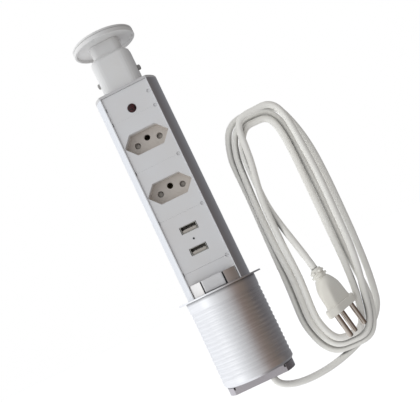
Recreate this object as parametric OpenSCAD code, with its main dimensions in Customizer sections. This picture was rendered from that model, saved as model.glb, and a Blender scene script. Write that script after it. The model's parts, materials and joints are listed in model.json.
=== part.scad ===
// Pull-up desk power tower: a D-section aluminium column with two sockets and two USB
// ports slides through a ribbed sleeve that is let into a desk, and carries its cord and plug.
// Millimetres. Z is the column's axis, Z = 0 is the desk top under the flange,
// and the sockets face -Y. The column is drawn pulled up.

/* [Desk sleeve] */
// Outer radius of the ribbed sleeve, for a 60 mm desk hole
sleeve_r = 29.1; // [28.9:0.1:29.5]
// Length of the sleeve under the desk top
sleeve_len = 70.2; // [60:0.1:70.4]
// Outer radius of the flange that rests on the desk
flange_r = 34.8; // [33:0.1:36]
// Thickness of the flange
flange_t = 1.3; // [1:0.1:2]
// Distance from one rib to the next
rib_pitch = 3.54; // [3:0.01:5]
// Depth of the grooves between the ribs
rib_depth = 0.5; // [0.2:0.1:0.8]

/* [Column] */
// Outer radius of the column's round back
column_r = 26.5; // [26.3:0.1:26.5]
// Distance from the axis to the flat front
face_y = 17.2; // [16.8:0.1:17.6]
// Height of the column's top cap above the desk
column_top = 174.2; // [174:0.1:176]
// Wall thickness of the extrusion
wall_t = 1.6; // [1.4:0.1:1.8]
// Lowest edge of the visible front modules
front_bottom = 11.3; // [11:0.1:12]
// Height of the foot module
foot_h = 9.6; // [9:0.1:10]
// Height of the USB module
usb_module_h = 43.8; // [43:0.1:45]
// Height of each socket module
socket_module_h = 42.4; // [42:0.1:43]
// How far the column slides down to close
travel = 219.2; // [100:0.1:219.2]

/* [Sockets] */
// Distance between the line and neutral holes
pin_spacing = 19; // [18:0.1:19]
// Distance of the earth hole above the line through the other two
earth_offset = 3; // [2.5:0.1:3]
// Radius of the socket holes
hole_r = 2.5; // [2.2:0.1:2.5]
// Depth of the socket recess
recess_depth = 10; // [8:0.1:10]
// How far a shutter slides to open
shutter_travel = 5.2; // [5:0.1:5.2]

/* [Grip] */
// Radius of the round pull cap
cap_r = 26; // [25.6:0.1:26]
// Height of the cap's underside above the desk
cap_z = 215; // [215:0.1:218]
// Thickness of the cap
cap_t = 5.5; // [5:0.1:6]
// Width of the neck
neck_w = 33; // [32:0.1:34]
// Depth of the neck
neck_d = 26; // [25:0.1:27]
// Height of the snap buttons above the desk
button_z = 187.5; // [186:0.1:190]

/* [Cord and plug] */
// Diameter of the cord
cord_d = 5.4; // [5:0.1:5.4]
// Half the length of the coil, to the centre of its outermost strand
coil_half_l = 100; // [90:1:100]
// Half the width of the coil, to the centre of its outermost strand
coil_half_w = 33; // [32:1:34]
// Lean of the coil towards +X
coil_tilt = 1.9; // [0:0.1:4]
// Lean of the plug towards +X
plug_tilt = 9.6; // [5:0.1:12]
// Turn of the plug about its own axis
plug_turn = -43; // [-45:1:-40]
// Length of the plug's pins
pin_len = 19; // [18:0.1:19]

/* [Hidden] */
$fn = 96;

gap = 0.05;
// Sleeve
bore_r = 27.6;
sleeve_lip_r = 26.9;
sleeve_lip_h = 3;
plain_band = 8.3;
guide_r = column_r + 0.08;
stop_rib_r = 25.35;
// Column section
lip_t = 0.8;
lip_x = 19.3;
slot_x = 20;
plate_t = 2;
plate_x = slot_x - 0.1;
plate_y = -face_y + lip_t + gap;
plate_back = plate_y + plate_t;
shelf_y = plate_back + gap;
cavity_y = shelf_y + 1.2;
cavity_r = column_r - wall_t;
port_ring_r = 22.2;
port_angles = [90, 18, 162];
cap_plate_t = 2;
bottom_r = 27.4;
bottom_z = -76.3;
bottom_t = 5.6;
extrusion_z0 = bottom_z + bottom_t + gap;
extrusion_z1 = column_top - cap_plate_t - gap;
// Front modules, from the bottom up
seam = 0.03;
foot_seam = 0.1;
foot_z1 = front_bottom + foot_h;
usb_z0 = foot_z1 + foot_seam;
usb_z1 = usb_z0 + usb_module_h - seam;
socket_z0 = usb_z0 + usb_module_h;
socket_zs = [socket_z0 + socket_module_h / 2, socket_z0 + 1.5 * socket_module_h];
indicator_z0 = socket_z0 + 2 * socket_module_h;
indicator_z = indicator_z0 + 5.9;
lower_panel_z1 = -10.3;
clip_x = 17.5;
clip_r = 1.5;
clip_depth = 0.7;
// Socket
recess_tip_x = 18.85;
recess_flat_x = 11.1;
recess_half_h = 8.8;
cup_wall = 1.2;
floor_y = -face_y + recess_depth;
floor_t = 2.8;
floor_back = floor_y + floor_t;
shutter_y = floor_back + gap;
shutter_t = 2;
carrier_y0 = floor_back + gap;
carrier_y1 = 8;
chamber_y = shutter_y + shutter_t + gap;
chamber_r = 3.05;
contact_r = 2.9;
contact_bore_r = 2.1;
bar_y = carrier_y1 + 0.1;
bar_w = 5;
bar_t = 0.8;
bar_z0 = 60;
post_x = 14;
pocket_x = 3;
shutter_slot_r = 3.3;
shutter_spring_z = -6.4;
// USB
usb_zs = [34.2, 52];
usb_window = [14.2, 6];
usb_shell = [13.1, 5.7];
usb_shell_t = 0.35;
usb_shell_y0 = plate_y + 0.3;
usb_shell_y1 = -4.2;
tongue_top = -0.2;
usb_contact_xs = [-3.5, -1, 1, 3.5];
board_y = -4;
board_t = 1.6;
led_z = 43.2;
// Latch
latch_x = 8.4;
latch_z0 = 1.9;
latch_z1 = 11.2;
latch_y = -25.35;
latch_gap = 1.2;
latch_travel = 2.2;
latch_axis_z = 6;
shell_r = 25.2;
shell_t = 1.2;
guide_plate_y = -8;
guide_plate_t = 2;
// Wiring
terminal_z = [-40, -28];
core_spread = 1.25;
clamp_z = [-69, -62];
// Grip
neck_z0 = column_top + gap;
neck_z1 = 205.5;
neck_chamfer = 2.5;
neck_floor = 5.2;
stem_w = 25;
stem_d = 18;
socket_clear = 0.1;
button_r = 2.2;
button_flange_r = 3.2;
button_bore_r = 3.3;
button_hole_r = button_r + 0.08;
button_tip_x = 18.3;
button_base_x = 11;
cover_t = 2;
cap_rim = 1.6;
cap_hollow = 1.8;
// Cord and plug
exit_x = 8;
exit_y = 2;
cord_top_z = -58;
coil_x = 78.7;
coil_z = 16.6;
coil_join = 0.14;
coil_leave = 3.66;
// Lane of each turn, 0 outermost, by hand: the third turn climbs over the others at the top
coil_lanes = [
    [0, 0], [0.3, 0], [0.4, 0.3], [0.5, 0.7], [0.6, 0], [0.86, 0], [1.13, 1], [1.22, 1.9],
    [1.3, 2], [1.42, 1.6], [1.52, 1.7], [1.62, 1], [1.73, 0.5], [1.8, 1], [1.86, 1], [2, 1.5],
    [2.13, 1.6], [2.23, 1.05], [2.32, 1], [2.46, 0.1], [2.63, 2.8], [2.73, 1.6], [2.8, 2],
    [2.86, 2], [3.06, 2.8], [3.16, 2.76], [3.28, 3], [3.42, 2.6], [3.5, 2.9], [3.66, 2], [4, 2]
];
// How far each lane lies inside the last at the coil's ends and sides
end_lane = 3.7;
side_lane = 5.2;
// The coil's left side is drawn in at its middle
waist = 4.2;
waist_half_l = 72;
// Y of each turn
coil_depths = [
    [0.14, 19.5], [0.4, 15], [0.78, 15], [1, 9.5], [1.8, 9.5], [2, 4], [2.08, 4], [2.24, -1.5],
    [2.9, -1.5], [3.04, -0.9], [3.22, 4], [3.45, 4], [3.62, 5], [4, 5]
];
// Turns further back are wider by this share per millimetre
back_spread = 0.00176;
spread_x = 52.35;
cross_point = [62.6, 5, 33];
cross_heading = [0.17, -0.05, -1];
cord_sides = 10;
collar_x = 72.09;
collar_z = -16.93;
plug_y = -13.5;
plug_len = 33.5;
boot_len = 8;
plug_flange_t = 6;
plug_pin_r = 2;

// ---- Shared shapes ----

// Extrudes a drawing of X and Z along Y, from y0 to y1
module along_y(y0, y1) {
    translate([0, y1, 0]) rotate([90, 0, 0]) linear_extrude(y1 - y0) children();
}

module cylinder_y(r, y0, y1) {
    translate([0, y0, 0]) rotate([-90, 0, 0]) cylinder(r = r, h = y1 - y0);
}

module cylinder_x(r, x0, x1) {
    translate([x0, 0, 0]) rotate([0, 90, 0]) cylinder(r = r, h = x1 - x0);
}

module block(x, y, z) {
    translate([x[0], y[0], z[0]]) cube([x[1] - x[0], y[1] - y[0], z[1] - z[0]]);
}

module ring(r_out, r_in, z0, z1) {
    translate([0, 0, z0]) difference() {
        cylinder(r = r_out, h = z1 - z0);
        translate([0, 0, -1]) cylinder(r = r_in, h = z1 - z0 + 2);
    }
}

// A disc with its front cut off flat at y = -cut
module d_disc(r, cut) {
    intersection() {
        circle(r);
        translate([-r, -cut]) square([2 * r, cut + r]);
    }
}

function unit(v) = v / norm(v);

// Points of a convex outline with every corner rounded to radius r
function round_corners(pts, r, steps = 6) = [
    for (i = [0 : len(pts) - 1])
        let (
            p = pts[i],
            a = unit(pts[(i + len(pts) - 1) % len(pts)] - p),
            b = unit(pts[(i + 1) % len(pts)] - p),
            half = acos(a * b) / 2,
            centre = p + unit(a + b) * r / sin(half),
            start = p + a * r / tan(half) - centre,
            sweep = (a[0] * b[1] - a[1] * b[0] < 0 ? 1 : -1) * (180 - 2 * half)
        )
        for (k = [0 : steps])
            let (t = sweep * k / steps)
            centre + [start[0] * cos(t) - start[1] * sin(t), start[0] * sin(t) + start[1] * cos(t)]
];

function box_points(w, d) = [[-w / 2, -d / 2], [w / 2, -d / 2], [w / 2, d / 2], [-w / 2, d / 2]];

function hexagon(tip, flat, half_h) = [
    [-flat, -half_h], [flat, -half_h], [tip, 0], [flat, half_h], [-flat, half_h], [-tip, 0]
];

// A round bar of radius r along a list of points
module tube_along(pts, r, sides, up = [0, 1, 0]) {
    n = len(pts);
    rings = [
        for (i = [0 : n - 1])
            let (
                t = unit(pts[min(i + 1, n - 1)] - pts[max(i - 1, 0)]),
                e = unit(cross(t, up)),
                f = cross(e, t)
            )
            for (k = [0 : sides - 1]) pts[i] + r * (e * cos(360 * k / sides) + f * sin(360 * k / sides))
    ];
    skin = [
        for (i = [0 : n - 2], k = [0 : sides - 1])
            let (a = i * sides + k, b = i * sides + (k + 1) % sides)
            for (face = [[a, b, b + sides], [a, b + sides, a + sides]]) face
    ];
    start = [for (k = [0 : sides - 1]) sides - 1 - k];
    end = [for (k = [0 : sides - 1]) (n - 1) * sides + k];
    polyhedron(rings, concat([start], skin, [end]));
}

// A compression spring along +Z from z = 0
module coil_spring(r, wire_r, length, turns) {
    steps = 14;
    run = length - 2 * wire_r;
    pts = [
        for (i = [0 : turns * steps])
            [r * cos(360 * i / steps), r * sin(360 * i / steps), wire_r + run * i / (turns * steps)]
    ];
    tube_along(pts, wire_r, 6, [0, 0, 1]);
}

// ---- Desk sleeve, which stays in the desk ----

module desk_sleeve() {
    rib_count = floor((sleeve_len - plain_band - 2.2) / rib_pitch);
    ribs = [
        for (i = [0 : rib_count - 1], k = [0 : 8])
            let (z = -plain_band - rib_pitch * (i + k / 9))
            [sleeve_r - rib_depth * pow(sin(180 * k / 9), 2), z]
    ];
    outline = concat(
        [
            [sleeve_lip_r, -sleeve_len], [sleeve_lip_r, -sleeve_len + sleeve_lip_h],
            [bore_r, -sleeve_len + sleeve_lip_h], [bore_r, -1.2], [sleeve_lip_r, -1.2],
            [sleeve_lip_r, flange_t - 0.3], [sleeve_lip_r + 0.3, flange_t], [flange_r - 0.5, flange_t],
            [flange_r, flange_t - 0.5], [flange_r, 0], [sleeve_r, 0]
        ],
        ribs,
        [[sleeve_r, -sleeve_len + 1.8], [sleeve_r - 1.5, -sleeve_len]]
    );
    color("gainsboro") rotate_extrude($fn = 180) polygon(outline);
}

// The stop ribs stand in front of the column's flat and catch the cap when it is closed
module upper_guide_ring() {
    z1 = -1.3;
    z0 = -14;
    rib_top = cap_z - travel - 0.1;
    color("dimgray") {
        ring(bore_r - gap, guide_r, z0, z1);
        for (s = [-1, 1])
            intersection() {
                ring(guide_r + 0.3, stop_rib_r, z0, rib_top);
                block([s * 13.5 - 3.5, s * 13.5 + 3.5], [-30, -10], [z0 - 1, 0]);
            }
    }
}

module lower_guide_ring() {
    color("dimgray") ring(bore_r - gap, guide_r, -60, -48);
}

// ---- Column ----

module screw_ports(r) {
    for (a = port_angles) translate([port_ring_r * cos(a), port_ring_r * sin(a)]) circle(r, $fn = 32);
}

module extrusion_section() {
    difference() {
        union() {
            difference() {
                d_disc(column_r, face_y);
                d_disc(cavity_r, -cavity_y);
                translate([-lip_x, -face_y - 1]) square([2 * lip_x, cavity_y + face_y + 1.01]);
                translate([-slot_x, -face_y + lip_t]) square([2 * slot_x, shelf_y + face_y - lip_t]);
            }
            intersection() {
                screw_ports(2.9);
                circle(cavity_r + 0.5);
            }
        }
        screw_ports(1.5);
    }
}

module extrusion() {
    color("silver") translate([0, 0, extrusion_z0]) linear_extrude(extrusion_z1 - extrusion_z0)
        extrusion_section();
}

module top_cap() {
    z0 = column_top - cap_plate_t;
    color("gainsboro") difference() {
        translate([0, 0, z0]) linear_extrude(cap_plate_t) d_disc(column_r, face_y);
        translate([0, 0, z0 - 1]) linear_extrude(cap_plate_t + 2) screw_ports(1.75);
        for (a = port_angles)
            translate([port_ring_r * cos(a), port_ring_r * sin(a), column_top - 1.3])
                cylinder(r1 = 1.75, r2 = 3.1, h = 1.31, $fn = 32);
        for (s = [-1, 1])
            translate([9 * s, 0, z0 - 1]) cylinder(r = 1.7, h = cap_plate_t + 2);
    }
}

module countersunk_screw(r, head_r, head_h, length) {
    rotate_extrude($fn = 32) polygon([
        [0, -length], [r * 0.6, -length], [r, -length + 1], [r, -head_h], [head_r, 0], [1, 0],
        [1, -0.5], [0, -0.5]
    ]);
}

module top_cap_screws() {
    color("silver") for (a = port_angles)
        translate([port_ring_r * cos(a), port_ring_r * sin(a), column_top - 0.05])
            countersunk_screw(1.45, 2.9, 1.25, 12);
}

module bottom_cap() {
    z1 = bottom_z + bottom_t;
    color("silver") difference() {
        translate([0, 0, bottom_z]) linear_extrude(bottom_t) d_disc(bottom_r, face_y);
        translate([0, 0, bottom_z + 2]) linear_extrude(bottom_t) difference() {
            d_disc(cavity_r - 1, face_y - 2);
            screw_ports(3.2);
            translate([exit_x, exit_y]) circle(6.4);
        }
        translate([exit_x, exit_y, bottom_z - 1]) cylinder(r = 4.6, h = bottom_t + 2);
        translate([0, 0, bottom_z - 1]) linear_extrude(bottom_t + 2) screw_ports(1.75);
        for (a = port_angles)
            translate([port_ring_r * cos(a), port_ring_r * sin(a), bottom_z - 0.01])
                cylinder(r1 = 3.1, r2 = 1.75, h = 1.31, $fn = 32);
        for (s = [-1, 1])
            block([s * 20.6 - 0.6, s * 20.6 + 0.6], [-face_y - 1, -face_y + 2], [z1 - 2, z1 + 1]);
    }
}

module bottom_cap_screws() {
    color("silver") for (a = port_angles)
        translate([port_ring_r * cos(a), port_ring_r * sin(a), bottom_z + 0.05]) mirror([0, 0, 1])
            countersunk_screw(1.45, 2.9, 1.25, 14);
}

module cord_grommet() {
    z1 = bottom_z + bottom_t;
    color("gray") translate([exit_x, exit_y, 0]) {
        ring(4.55, cord_d / 2 + gap, bottom_z - 1.5, z1 + 1.5);
        ring(6, cord_d / 2 + gap, bottom_z - 1.5, bottom_z - 0.1);
        ring(6, cord_d / 2 + gap, z1 + 0.1, z1 + 1.5);
    }
}

// A front plate that slides behind the extrusion's lips
module front_plate(z0, z1) {
    block([-plate_x, plate_x], [plate_y, plate_back], [z0, z1]);
}

module plate_hole(x, z, r) {
    translate([x, 0, z]) cylinder_y(r, plate_y - 1, plate_back + 1);
}

// Where modules clip together: a round dimple near the right edge and a notch in the left edge
module clip_marks(zs) {
    for (z = zs) {
        translate([clip_x, 0, z]) cylinder_y(clip_r, plate_y - 1, plate_y + clip_depth, $fn = 32);
        block([-slot_x, -lip_x + 0.7], [plate_y - 1, plate_y + clip_depth], [z - clip_r, z + clip_r]);
    }
}

module indicator_plate() {
    color("gainsboro") difference() {
        front_plate(indicator_z0, extrusion_z1 - gap);
        plate_hole(0, indicator_z, 3.6);
        clip_marks([indicator_z0, indicator_z0 + 12.5]);
    }
}

module indicator_lens() {
    dome = [for (a = [0 : 15 : 90]) [3.5 * sin(90 - a), 1.1 * sin(a)]];
    flange = [
        [0, -plate_t - 1.2], [4.6, -plate_t - 1.2], [4.6, -plate_t - gap], [3.5, -plate_t - gap]
    ];
    color("darkred") translate([0, plate_y, indicator_z]) rotate([90, 0, 0])
        rotate_extrude($fn = 48) polygon(concat(flange, dome));
}

module indicator_lamp() {
    y0 = plate_back + 1.4;
    color("firebrick") translate([0, 0, indicator_z]) {
        translate([0, y0 + 2.4, 0]) sphere(2.4, $fn = 40);
        cylinder_y(2.4, y0 + 2.4, y0 + 7);
        for (s = [-1, 1]) translate([1.27 * s, 0, 0]) cylinder_y(0.3, y0 + 6.5, y0 + 14, $fn = 16);
    }
}

module lamp_holder() {
    y0 = plate_back + 1.4;
    color("black") translate([0, 0, indicator_z]) difference() {
        cylinder_y(4.4, y0, y0 + 9);
        cylinder_y(2.55, y0 - 1, y0 + 7.1);
        cylinder_y(2, y0, y0 + 10);
    }
}

// ---- Sockets ----

module recess_outline(grow) {
    outline = hexagon(recess_tip_x + 1.2 * grow, recess_flat_x + 0.6 * grow, recess_half_h + grow);
    polygon(round_corners(outline, 1.4));
}

module socket_holes(r, y0, y1) {
    for (x = [-pin_spacing / 2, pin_spacing / 2]) translate([x, 0, 0]) cylinder_y(r, y0, y1);
    translate([0, 0, earth_offset]) cylinder_y(r, y0, y1);
}

module socket(z) {
    half = socket_module_h / 2;
    color("gainsboro") translate([0, 0, z]) difference() {
        union() {
            front_plate(-half + seam / 2, half - seam / 2);
            intersection() {
                along_y(plate_back - 0.1, floor_back) recess_outline(cup_wall);
                block([-lip_x + gap, lip_x - gap], [-30, 0], [-20, 20]);
            }
            for (s = [-1, 1])
                block([-5, 5], [plate_back - 0.1, carrier_y1 - 1], [s * 12.3 - 0.7, s * 12.3 + 0.7]);
        }
        along_y(-face_y - 1, floor_y) recess_outline(0);
        socket_holes(hole_r, floor_y - 1, floor_back + 1);
        clip_marks([-half, half]);
    }
}

module upper_socket() { socket(socket_zs[1]); }
module lower_socket() { socket(socket_zs[0]); }

// At rest the solid parts cover the line and neutral holes
module shutter(z) {
    y0 = shutter_y - 1;
    y1 = shutter_y + shutter_t + 1;
    color("whitesmoke") translate([0, 0, z]) difference() {
        block([-18.6, 13.2], [shutter_y, shutter_y + shutter_t], [-8.2, 7.2]);
        for (x = [-pin_spacing / 2, pin_spacing / 2])
            translate([x - shutter_travel, 0, 0]) cylinder_y(hole_r + 0.1, y0, y1);
        translate([0, 0, earth_offset]) {
            for (x = [-shutter_travel, 0]) translate([x, 0, 0]) cylinder_y(shutter_slot_r, y0, y1);
            block([-shutter_travel, 0], [y0, y1], [-shutter_slot_r, shutter_slot_r]);
        }
        block([pocket_x, 20], [y0, y1], [shutter_spring_z - 1.15, shutter_spring_z + 1.15]);
    }
}

module upper_shutter() { shutter(socket_zs[1]); }
module lower_shutter() { shutter(socket_zs[0]); }

module shutter_spring(z) {
    color("silver") translate([pocket_x + gap, shutter_y + shutter_t / 2, z + shutter_spring_z])
        rotate([0, 90, 0]) coil_spring(0.75, 0.15, post_x - pocket_x - 2 * gap, 9);
}

module upper_shutter_spring() { shutter_spring(socket_zs[1]); }
module lower_shutter_spring() { shutter_spring(socket_zs[0]); }

module contact_carrier(z) {
    spring_zs = [shutter_spring_z - 1, shutter_spring_z + 1];
    color("dimgray") translate([0, 0, z]) difference() {
        block([-19.8, 19.6], [carrier_y0, carrier_y1], [-11, 11]);
        difference() {
            block([-18.75, 18.55], [carrier_y0 - 1, chamber_y], [-8.4, 7.4]);
            block([post_x, post_x + 1], [carrier_y0, chamber_y + 1], spring_zs);
        }
        socket_holes(chamber_r, carrier_y0, carrier_y1 + 1);
        translate([0, 0, -12]) linear_extrude(24) screw_ports(3.1);
    }
}

module upper_contact_carrier() { contact_carrier(socket_zs[1]); }
module lower_contact_carrier() { contact_carrier(socket_zs[0]); }

// A brass strip with a split contact tube behind each socket
module contact_bar(x, dz) {
    bar_z1 = socket_zs[1] + dz + 3.5;
    color("goldenrod") difference() {
        union() {
            block([x - bar_w / 2, x + bar_w / 2], [bar_y, bar_y + bar_t], [bar_z0, bar_z1]);
            for (z = socket_zs)
                translate([x, 0, z + dz]) cylinder_y(contact_r, chamber_y + 0.5, bar_y + 0.1);
        }
        for (z = socket_zs) translate([x, 0, z + dz]) {
            cylinder_y(contact_bore_r, chamber_y, bar_y - 1);
            block([-0.3, 0.3], [chamber_y, bar_y - 2.5], [0, 4]);
        }
    }
}

module line_bar() { contact_bar(pin_spacing / 2, 0); }
module neutral_bar() { contact_bar(-pin_spacing / 2, 0); }
module earth_bar() { contact_bar(0, earth_offset); }

// ---- USB charger ----

module usb_plate() {
    color("gainsboro") difference() {
        union() {
            front_plate(usb_z0, usb_z1);
            for (z = [25, 61]) translate([0, 0, z]) cylinder_y(2.6, plate_back - 0.1, board_y - gap);
        }
        for (z = usb_zs)
            translate([0, 0, z]) along_y(plate_y - 1, plate_back + 1)
                polygon(round_corners(box_points(usb_window[0], usb_window[1]), 0.4, 3));
        plate_hole(0, led_z, 0.85);
        for (z = [25, 61]) translate([0, 0, z]) cylinder_y(1, board_y - 6, board_y + 1);
        clip_marks([usb_z0, usb_z1]);
    }
}

module usb_shells() {
    w = usb_shell[0] / 2;
    h = usb_shell[1] / 2;
    wi = w - usb_shell_t;
    hi = h - usb_shell_t;
    color("silver") for (z = usb_zs)
        translate([0, 0, z]) difference() {
            block([-w, w], [usb_shell_y0, usb_shell_y1], [-h, h]);
            block([-wi, wi], [usb_shell_y0 - 1, usb_shell_y1 + 1], [-hi, hi]);
        }
}

// The tongue is the lower half of each port
module usb_tongues() {
    w = usb_shell[0] / 2 - usb_shell_t - gap;
    h = usb_shell[1] / 2 - usb_shell_t - gap;
    color("white") for (z = usb_zs)
        translate([0, 0, z]) {
            block([-w + 0.4, w - 0.4], [usb_shell_y0 + 0.6, -6.5], [-h + 0.15, tongue_top]);
            block([-w, w], [-6.6, usb_shell_y1], [-h, h]);
        }
}

module usb_contacts() {
    color("gold") for (z = usb_zs, x = usb_contact_xs)
        translate([x, 0, z]) {
            block([-0.5, 0.5], [usb_shell_y0 + 1.2, -6.7], [tongue_top + gap, tongue_top + 0.3]);
            block([-0.5, 0.5], [-8.2, -6.7], [tongue_top + gap, tongue_top + 0.9]);
        }
}

module status_light_pipe() {
    color("lightblue") translate([0, 0, led_z]) cylinder_y(0.8, plate_y - 0.1, board_y - gap, $fn = 32);
}

module usb_board() {
    color("darkgreen") difference() {
        block([-15, 15], [board_y, board_y + board_t], [22.5, 63.5]);
        for (z = [25, 61]) translate([0, 0, z]) cylinder_y(1.3, board_y - 1, board_y + 3);
    }
}

module usb_board_screws() {
    color("silver") for (z = [25, 61])
        translate([0, board_y + board_t + gap, z]) {
            cylinder_y(0.95, -6, 0.1, $fn = 24);
            cylinder_y(2, 0, 1.3, $fn = 24);
        }
}

module usb_transformer() {
    y0 = board_y + board_t + gap;
    color("goldenrod") block([-11, 1], [y0 + 1, y0 + 10], [31, 43]);
    color("black") {
        for (z = [29.4, 43]) block([-12, 2], [y0, y0 + 11], [z, z + 1.6]);
    }
}

module usb_capacitors() {
    y0 = board_y + board_t + gap;
    color("black") {
        translate([8.5, 0, 34]) cylinder_y(4, y0, y0 + 12);
        translate([8.5, 0, 45]) cylinder_y(3.2, y0, y0 + 9);
        translate([-6, 0, 52]) cylinder_y(3.2, y0, y0 + 9);
    }
}

// ---- Foot and latch ----

module foot_plate() {
    color("gainsboro") difference() {
        front_plate(front_bottom, foot_z1);
        clip_marks([foot_z1]);
    }
}

module foot_shell() {
    shell_h = front_bottom - lower_panel_z1 - 2 * seam;
    color("silver") difference() {
        translate([0, 0, lower_panel_z1 + seam]) linear_extrude(shell_h) union() {
            intersection() {
                difference() {
                    circle(shell_r);
                    circle(shell_r - shell_t);
                }
                translate([-lip_x + 0.1, -30]) square([2 * lip_x - 0.2, 30 + plate_back]);
            }
            for (s = [-1, 1])
                translate([s * (plate_x + 18) / 2, (plate_y + plate_back) / 2])
                    square([plate_x - 18, plate_t], center = true);
        }
        block([-latch_x - latch_gap, latch_x + latch_gap], [-30, -10], [latch_z0 - latch_gap, 30]);
    }
}

module latch_button() {
    color("gainsboro") translate([0, 0, latch_axis_z]) {
        intersection() {
            block([-latch_x, latch_x], [latch_y, -19.4], [latch_z0 - latch_axis_z, latch_z1 - latch_axis_z]);
            translate([0, 0, -20]) cylinder(r = column_r - 0.1, h = 40);
        }
        block([-10.6, 10.6], [-21, -19.4], [0.6 - latch_axis_z, 11 - latch_axis_z]);
        cylinder_y(3, -19.5, -5.2);
    }
}

module latch_guide() {
    color("dimgray") difference() {
        intersection() {
            block([-24, 24], [guide_plate_y, guide_plate_y + guide_plate_t], [-2, front_bottom - 0.2]);
            translate([0, 0, -20]) cylinder(r = cavity_r - gap, h = 60);
        }
        translate([0, 0, latch_axis_z]) cylinder_y(3.06, -20, 0);
    }
}

module latch_spring() {
    color("silver") translate([0, -19.35, latch_axis_z]) rotate([-90, 0, 0])
        coil_spring(3.8, 0.35, guide_plate_y + 19.3, 5);
}

module lower_panel() {
    color("gainsboro") front_plate(extrusion_z0 + gap, lower_panel_z1);
}

// ---- Wiring inside the column ----

module terminal_block() {
    color("whitesmoke") difference() {
        block([-15, 15], [2, 12], terminal_z);
        for (x = [-9, 0, 9]) {
            translate([x, 7, terminal_z[0] - 1]) cylinder(r = 1.5, h = 14, $fn = 32);
            for (z = [-37, -31]) translate([x, 0, z]) cylinder_y(1.3, 1, 6, $fn = 32);
        }
    }
}

module terminal_screws() {
    color("silver") for (x = [-9, 0, 9], z = [-37, -31])
        translate([x, 0, z]) cylinder_y(1.2, 2.3, 5.6, $fn = 24);
}

module cord_clamp() {
    color("dimgray") difference() {
        intersection() {
            block([-24, 24], [-1.5, 3.8], clamp_z);
            translate([0, 0, -80]) cylinder(r = cavity_r - gap, h = 60);
        }
        translate([exit_x, exit_y, -80]) cylinder(r = cord_d / 2 + gap, h = 30);
    }
}

// From the cord's end to the terminal block, and on up to a contact bar. The cores leave
// the cord at an angle of its end, clear of one another
module wire(x_terminal, x_bar, core_angle, hue) {
    start = [exit_x + core_spread * cos(core_angle), exit_y + core_spread * sin(core_angle)];
    low = [
        for (i = [0 : 8])
            let (t = i / 8, s = smooth(t))
            concat(start + ([x_terminal, 7] - start) * s, cord_top_z + 0.3 + 17.5 * t)
    ];
    rise = bar_z0 + 2.5 - terminal_z[1];
    high = [
        for (i = [0 : 12])
            let (t = i / 12, x = x_terminal + (x_bar - x_terminal) * smooth(t))
            [x, 7 + 7 * min(1, 3 * t), terminal_z[1] + 0.3 + rise * t]
    ];
    color(hue) {
        tube_along(low, 0.7, 8);
        tube_along(high, 0.9, 8);
        translate([x_bar, 0, bar_z0 + 2.8]) cylinder_y(1.6, bar_y + bar_t + gap, 14.6, $fn = 32);
    }
}

module line_wire() { wire(9, pin_spacing / 2, -30, "sienna"); }
module neutral_wire() { wire(-9, -pin_spacing / 2, 210, "royalblue"); }
module earth_wire() { wire(0, 0, 90, "green"); }

// ---- Neck and pull cap ----

function neck_outline(inset) = round_corners(box_points(neck_w - 2 * inset, neck_d - 2 * inset), 8 - inset);

module stem_outline(grow) {
    polygon(round_corners(box_points(stem_w + 2 * grow, stem_d + 2 * grow), 5.5 + grow));
}

module neck() {
    color("gainsboro") difference() {
        union() {
            translate([0, 0, neck_z0]) linear_extrude(neck_z1 - neck_chamfer - neck_z0)
                polygon(neck_outline(0));
            hull() {
                translate([0, 0, neck_z1 - neck_chamfer]) linear_extrude(0.01) polygon(neck_outline(0));
                translate([0, 0, neck_z1 - 0.01]) linear_extrude(0.01) polygon(neck_outline(neck_chamfer));
            }
        }
        translate([0, 0, neck_z0 + neck_floor]) linear_extrude(40) stem_outline(socket_clear);
        translate([0, 0, button_z]) cylinder_x(button_hole_r, -20, 20);
        for (s = [-1, 1]) translate([9 * s, 0, neck_z0 - 1]) cylinder(r = 1.5, h = neck_floor, $fn = 32);
    }
}

module neck_screws() {
    color("silver") for (s = [-1, 1])
        translate([9 * s, 0, 0]) {
            translate([0, 0, column_top - cap_plate_t - 1.6]) cylinder(r = 2.8, h = 1.55, $fn = 32);
            translate([0, 0, column_top - cap_plate_t - 0.1]) cylinder(r = 1.45, h = 6, $fn = 32);
        }
}

module grip_stem() {
    z0 = neck_z0 + neck_floor + 0.1;
    color("gainsboro") difference() {
        translate([0, 0, z0]) linear_extrude(cap_z + cap_hollow - gap - z0) stem_outline(0);
        translate([0, 0, button_z]) cylinder_x(button_bore_r, -20, 20);
        for (s = [-1, 1]) translate([7 * s, 0, cap_z - 7]) cylinder(r = 1.3, h = 12, $fn = 32);
    }
}

module snap_button() {
    dome = [for (a = [0 : 15 : 90]) [button_r * cos(a), button_tip_x + 0.9 * sin(a)]];
    flange = [
        [0, button_base_x], [button_flange_r, button_base_x],
        [button_flange_r, button_base_x + 1.3], [button_r, button_base_x + 1.3]
    ];
    color("gray") translate([0, 0, button_z]) rotate([0, 90, 0])
        rotate_extrude($fn = 48) polygon(concat(flange, dome));
}

module right_button() { snap_button(); }
module left_button() { mirror([1, 0, 0]) snap_button(); }

module button_spring() {
    half = button_base_x - gap;
    color("silver") translate([-half, 0, button_z]) rotate([0, 90, 0]) coil_spring(2.4, 0.3, 2 * half, 9);
}

// A round lid with a hollow underside that the stem's top fits into
module cap_base() {
    z1 = cap_z + cap_t - cover_t;
    color("gainsboro") difference() {
        translate([0, 0, cap_z]) rotate_extrude($fn = 120) polygon([
            [0, cap_hollow], [cap_r - cap_rim - 0.6, cap_hollow], [cap_r - cap_rim, 0], [cap_r - 0.4, 0],
            [cap_r, 0.4], [cap_r, z1 - cap_z - 0.4], [cap_r - 0.4, z1 - cap_z], [0, z1 - cap_z]
        ]);
        for (s = [-1, 1]) translate([7 * s, 0, cap_z]) cylinder(r = 1.6, h = 10, $fn = 32);
    }
}

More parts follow.
